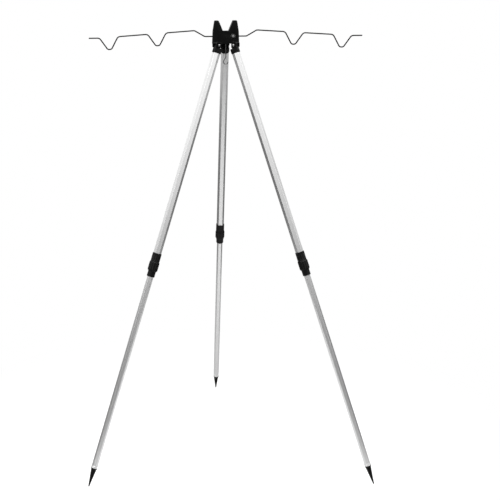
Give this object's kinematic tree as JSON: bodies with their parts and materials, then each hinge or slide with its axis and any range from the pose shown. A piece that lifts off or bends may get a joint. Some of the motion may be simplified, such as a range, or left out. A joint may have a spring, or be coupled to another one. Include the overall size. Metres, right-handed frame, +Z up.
{
  "type": "fishing rod tripod",
  "caption": "Bank fishing rod tripod: a black V-horned head, telescopic hexagonal aluminium legs with twist locks and spikes, and folding black wire arms with V rod rests.",
  "frame": {"origin": "on the ground, under the middle of the box round the standing tripod", "axes": "+Z up, -Y the front, between the two front legs; the wire arms run along X"},
  "size_m": [0.708, 0.6132, 1.1368],
  "materials": {
    "satin_aluminium": "satin",
    "black_plastic": "fine grained",
    "lock_plastic": "ribbed grip",
    "white_plastic": "plain",
    "black_coated_wire": "satin coat",
    "zinc_plated_steel": "zinc plated"
  },
  "bodies": {
    "head": {"head": "black_plastic", "weight_hook": "zinc_plated_steel", "front_right_hinge_pin": "zinc_plated_steel", "front_left_hinge_pin": "zinc_plated_steel", "rear_hinge_pin": "zinc_plated_steel", "left_arm_washer": "zinc_plated_steel", "right_arm_washer": "zinc_plated_steel"},
    "left_arm": {"left_arm": "black_coated_wire", "left_arm_retainer": "zinc_plated_steel"},
    "right_arm": {"right_arm": "black_coated_wire", "right_arm_retainer": "zinc_plated_steel"},
    "front_right_upper_leg": {"front_right_cap": "black_plastic", "front_right_upper_tube": "satin_aluminium", "front_right_lock_collar": "lock_plastic", "front_right_lock_collet": "white_plastic"},
    "front_right_lock": {"front_right_lock_nut": "lock_plastic"},
    "front_right_lower_leg": {"front_right_lower_tube": "satin_aluminium", "front_right_guide": "white_plastic", "front_right_ferrule": "satin_aluminium", "front_right_spike": "black_plastic"},
    "front_left_upper_leg": {"front_left_cap": "black_plastic", "front_left_upper_tube": "satin_aluminium", "front_left_lock_collar": "lock_plastic", "front_left_lock_collet": "white_plastic"},
    "front_left_lock": {"front_left_lock_nut": "lock_plastic"},
    "front_left_lower_leg": {"front_left_lower_tube": "satin_aluminium", "front_left_guide": "white_plastic", "front_left_ferrule": "satin_aluminium", "front_left_spike": "black_plastic"},
    "rear_upper_leg": {"rear_cap": "black_plastic", "rear_upper_tube": "satin_aluminium", "rear_lock_collar": "lock_plastic", "rear_lock_collet": "white_plastic"},
    "rear_lock": {"rear_lock_nut": "lock_plastic"},
    "rear_lower_leg": {"rear_lower_tube": "satin_aluminium", "rear_guide": "white_plastic", "rear_ferrule": "satin_aluminium", "rear_spike": "black_plastic"}
  },
  "joints": [
    {"name": "front_right_fold", "type": "hinge", "parent": "head", "child": "front_right_upper_leg", "pos_m": [0.02252, -0.11484, 1.07591], "axis": [0.5, 0.866, 0], "range_deg": [0, 20.15]},
    {"name": "front_right_retract", "type": "slide", "parent": "front_right_upper_leg", "child": "front_right_lower_leg", "axis": [-0.2926, 0.169, 0.9412], "range_m": [0, 0.4555]},
    {"name": "front_right_lock_turn", "type": "hinge", "parent": "front_right_upper_leg", "child": "front_right_lock", "pos_m": [0.19016, -0.21163, 0.52374], "axis": [0.2926, -0.169, -0.9412], "range_deg": [0, 180]},
    {"name": "front_left_fold", "type": "hinge", "parent": "head", "child": "front_left_upper_leg", "pos_m": [-0.02252, -0.11484, 1.07591], "axis": [0.5, -0.866, 0], "range_deg": [0, 20.15]},
    {"name": "front_left_retract", "type": "slide", "parent": "front_left_upper_leg", "child": "front_left_lower_leg", "axis": [0.2926, 0.169, 0.9412], "range_m": [0, 0.4555]},
    {"name": "front_left_lock_turn", "type": "hinge", "parent": "front_left_upper_leg", "child": "front_left_lock", "pos_m": [-0.19016, -0.21163, 0.52374], "axis": [-0.2926, -0.169, -0.9412], "range_deg": [0, 180]},
    {"name": "rear_fold", "type": "hinge", "parent": "head", "child": "rear_upper_leg", "pos_m": [0, -0.07584, 1.07591], "axis": [-1, 0, 0], "range_deg": [0, 20.15]},
    {"name": "rear_retract", "type": "slide", "parent": "rear_upper_leg", "child": "rear_lower_leg", "axis": [0, -0.3379, 0.9412], "range_m": [0, 0.4555]},
    {"name": "rear_lock_turn", "type": "hinge", "parent": "rear_upper_leg", "child": "rear_lock", "pos_m": [0, 0.11773, 0.52374], "axis": [0, 0.3379, -0.9412], "range_deg": [0, 180]},
    {"name": "left_arm_fold", "type": "hinge", "parent": "head", "child": "left_arm", "pos_m": [0.018, -0.09644, 1.09731], "axis": [0, -1, 0], "range_deg": [0, 90]},
    {"name": "right_arm_fold", "type": "hinge", "parent": "head", "child": "right_arm", "pos_m": [-0.018, -0.09644, 1.09731], "axis": [0, 1, 0], "range_deg": [0, 90]}
  ]
}
